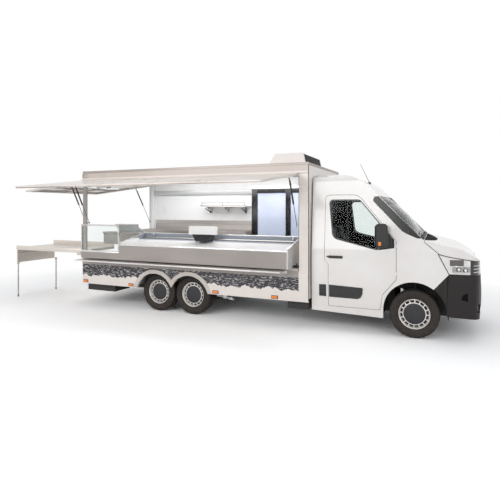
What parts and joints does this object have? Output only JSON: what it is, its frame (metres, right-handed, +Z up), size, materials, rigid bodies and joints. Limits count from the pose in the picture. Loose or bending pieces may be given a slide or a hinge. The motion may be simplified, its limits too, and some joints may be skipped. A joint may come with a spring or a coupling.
{
  "type": "food truck",
  "caption": "Sales van standing open: cab-chassis with tandem rear axles, box body with side and rear flaps, display counter, rear table and bag shelf.",
  "frame": {"origin": "on the ground, below the middle of the box around the whole truck as it stands open", "axes": "+X towards the front of the truck, +Y to its left, +Z up; the serving side is at -Y"},
  "size_m": [8.8781, 3.8934, 2.825],
  "materials": {
    "aluminium": "satin",
    "black_plastic": "grained",
    "black_steel": "gloss",
    "cast_metal": "rough",
    "chassis_black": "satin",
    "dark_plastic": "grained",
    "floor_panel": "ribbed",
    "glass": "clear",
    "grey_plastic": "grained",
    "lamp_lens": "clear",
    "rubber": "matt",
    "seat_fabric": "woven",
    "stainless_steel": "brushed",
    "wheel_steel": "satin",
    "white_paint": "gloss",
    "white_panel": "satin",
    "white_plastic": "satin"
  },
  "bodies": {
    "root": {"chassis_frame": "chassis_black", "engine_block": "cast_metal", "front_suspension": "chassis_black", "arch_liners": "black_plastic", "rear_axles": "chassis_black", "cab_shell": "white_paint", "windscreen": "glass", "cab_seats": "seat_fabric", "dashboard": "dark_plastic", "front_bumper": "grey_plastic", "front_grille": "black_plastic", "headlamps": "lamp_lens", "body_floor": "floor_panel", "side_panel": "white_panel", "left_wall": "white_panel", "front_wall": "white_panel", "rear_panel": "white_panel", "roof": "white_panel", "body_frame": "aluminium", "roof_cooler": "white_paint", "fridge_case": "white_paint", "worktop": "stainless_steel", "wall_shelf": "stainless_steel"},
    "wheel_front_right": {"tyre_front_right": "rubber", "rim_front_right": "wheel_steel"},
    "wheel_front_left": {"tyre_front_left": "rubber", "rim_front_left": "wheel_steel"},
    "wheel_middle_right": {"tyre_middle_right": "rubber", "rim_middle_right": "wheel_steel"},
    "wheel_middle_left": {"tyre_middle_left": "rubber", "rim_middle_left": "wheel_steel"},
    "wheel_rear_right": {"tyre_rear_right": "rubber", "rim_rear_right": "wheel_steel"},
    "wheel_rear_left": {"tyre_rear_left": "rubber", "rim_rear_left": "wheel_steel"},
    "hood": {"hood": "white_paint"},
    "cab_door_right": {"door_right": "white_paint", "door_glass_right": "glass", "mirror_right": "black_plastic"},
    "knuckle_right": {"knuckle_right": "cast_metal"},
    "cab_door_left": {"door_left": "white_paint", "door_glass_left": "glass", "mirror_left": "black_plastic"},
    "knuckle_left": {"knuckle_left": "cast_metal"},
    "side_flap": {"side_flap": "aluminium"},
    "rear_flap": {"rear_flap": "aluminium"},
    "side_strut_cylinders": {"side_strut_cylinders": "black_steel"},
    "rear_strut_cylinders": {"rear_strut_cylinders": "black_steel"},
    "side_strut_rods": {"side_strut_rods": "stainless_steel"},
    "rear_strut_rods": {"rear_strut_rods": "stainless_steel"},
    "rear_table": {"rear_table": "stainless_steel"},
    "table_leg_right": {"table_leg_right": "aluminium"},
    "table_leg_left": {"table_leg_left": "aluminium"},
    "bag_shelf": {"bag_shelf": "aluminium"},
    "fridge_door_rear": {"fridge_door_rear": "glass"},
    "fridge_door_front": {"fridge_door_front": "glass"},
    "counter": {"display_counter": "stainless_steel", "glass_guard": "stainless_steel", "scale": "white_plastic"}
  },
  "joints": [
    {"name": "steering_right", "type": "hinge", "parent": "root", "child": "knuckle_right", "pos_m": [3.539, 0.07172, 0.349], "axis": [0, 0, 1], "range_deg": [-32, 32]},
    {"name": "steering_left", "type": "hinge", "parent": "root", "child": "knuckle_left", "pos_m": [3.539, 1.39172, 0.349], "axis": [0, 0, 1], "range_deg": [-32, 32]},
    {"name": "roll_front_right", "type": "hinge", "parent": "knuckle_right", "child": "wheel_front_right", "pos_m": [3.539, -0.10628, 0.349], "axis": [0, 1, 0], "continuous": true},
    {"name": "roll_front_left", "type": "hinge", "parent": "knuckle_left", "child": "wheel_front_left", "pos_m": [3.539, 1.56972, 0.349], "axis": [0, 1, 0], "continuous": true},
    {"name": "roll_middle_right", "type": "hinge", "parent": "root", "child": "wheel_middle_right", "pos_m": [-0.151, -0.13028, 0.349], "axis": [0, 1, 0], "continuous": true},
    {"name": "roll_middle_left", "type": "hinge", "parent": "root", "child": "wheel_middle_left", "pos_m": [-0.151, 1.59372, 0.349], "axis": [0, 1, 0], "continuous": true},
    {"name": "roll_rear_right", "type": "hinge", "parent": "root", "child": "wheel_rear_right", "pos_m": [-0.871, -0.13028, 0.349], "axis": [0, 1, 0], "continuous": true},
    {"name": "roll_rear_left", "type": "hinge", "parent": "root", "child": "wheel_rear_left", "pos_m": [-0.871, 1.59372, 0.349], "axis": [0, 1, 0], "continuous": true},
    {"name": "door_right_swing", "type": "hinge", "parent": "root", "child": "cab_door_right", "pos_m": [3.301, -0.24828, 1.1], "axis": [0, 0, 1], "range_deg": [0, 70]},
    {"name": "door_left_swing", "type": "hinge", "parent": "root", "child": "cab_door_left", "pos_m": [3.301, 1.71172, 1.1], "axis": [0, 0, -1], "range_deg": [0, 70]},
    {"name": "hood_lift", "type": "hinge", "parent": "root", "child": "hood", "pos_m": [3.677, 0.73172, 1.428], "axis": [0, -1, 0], "range_deg": [0, 50]},
    {"name": "side_flap_swing", "type": "hinge", "parent": "root", "child": "side_flap", "pos_m": [-0.307, -0.40828, 2.43], "axis": [1, 0, 0], "range_deg": [0, 83]},
    {"name": "rear_flap_swing", "type": "hinge", "parent": "root", "child": "rear_flap", "pos_m": [-2.601, 0.73172, 2.43], "axis": [0, -1, 0], "range_deg": [0, 84]},
    {"name": "side_strut_turn", "type": "hinge", "parent": "side_flap", "child": "side_strut_cylinders", "pos_m": [-0.261, -0.70991, 2.32647], "axis": [1, 0, 0], "range_deg": [-110.46, 0]},
    {"name": "side_strut_stroke", "type": "slide", "parent": "side_strut_cylinders", "child": "side_strut_rods", "axis": [0, -0.4593, 0.8883], "range_m": [0, 0.30077]},
    {"name": "rear_strut_turn", "type": "hinge", "parent": "rear_flap", "child": "rear_strut_cylinders", "pos_m": [-2.92229, 0.73172, 2.32987], "axis": [0, -1, 0], "range_deg": [-111.33, 0]},
    {"name": "rear_strut_stroke", "type": "slide", "parent": "rear_strut_cylinders", "child": "rear_strut_rods", "axis": [-0.4568, 0, 0.8896], "range_m": [0, 0.32636]},
    {"name": "counter_slide", "type": "slide", "parent": "root", "child": "counter", "axis": [0, 1, 0], "range_m": [0, 0.225]},
    {"name": "shelf_fold", "type": "hinge", "parent": "root", "child": "bag_shelf", "pos_m": [-0.361, -0.38378, 0.86], "axis": [1, 0, 0], "range_deg": [0, 90]},
    {"name": "table_slide", "type": "slide", "parent": "counter", "child": "rear_table", "axis": [1, 0, 0], "range_m": [0, 1.905]},
    {"name": "leg_right_fold", "type": "hinge", "parent": "rear_table", "child": "table_leg_right", "pos_m": [-4.4177, -0.30928, 0.703], "axis": [1, 0, 0], "range_deg": [0, 90]},
    {"name": "leg_left_fold", "type": "hinge", "parent": "rear_table", "child": "table_leg_left", "pos_m": [-4.3637, 0.64972, 0.703], "axis": [-1, 0, 0], "range_deg": [0, 90]},
    {"name": "fridge_rear_swing", "type": "hinge", "parent": "root", "child": "fridge_door_rear", "pos_m": [0.376, 1.23472, 1.75], "axis": [0, 0, -1], "range_deg": [0, 90]},
    {"name": "fridge_front_swing", "type": "hinge", "parent": "root", "child": "fridge_door_front", "pos_m": [1.907, 1.23472, 1.75], "axis": [0, 0, 1], "range_deg": [0, 90]}
  ],
  "couplings": [
    {"joint": "steering_left", "follows": "steering_right", "ratio": 1},
    {"joint": "side_strut_turn", "follows": "side_flap_swing", "ratio": -1.3188},
    {"joint": "side_strut_stroke", "follows": "side_flap_swing", "m_per_rad": 0.20694},
    {"joint": "rear_strut_turn", "follows": "rear_flap_swing", "ratio": -1.3135},
    {"joint": "rear_strut_stroke", "follows": "rear_flap_swing", "m_per_rad": 0.22193},
    {"joint": "counter_slide", "follows": "side_flap_swing", "m_per_rad": 0.15532},
    {"joint": "shelf_fold", "follows": "side_flap_swing", "ratio": 1.0843},
    {"joint": "table_slide", "follows": "rear_flap_swing", "m_per_rad": 1.2994},
    {"joint": "leg_right_fold", "follows": "rear_flap_swing", "ratio": 1.0714},
    {"joint": "leg_left_fold", "follows": "rear_flap_swing", "ratio": 1.0714}
  ]
}
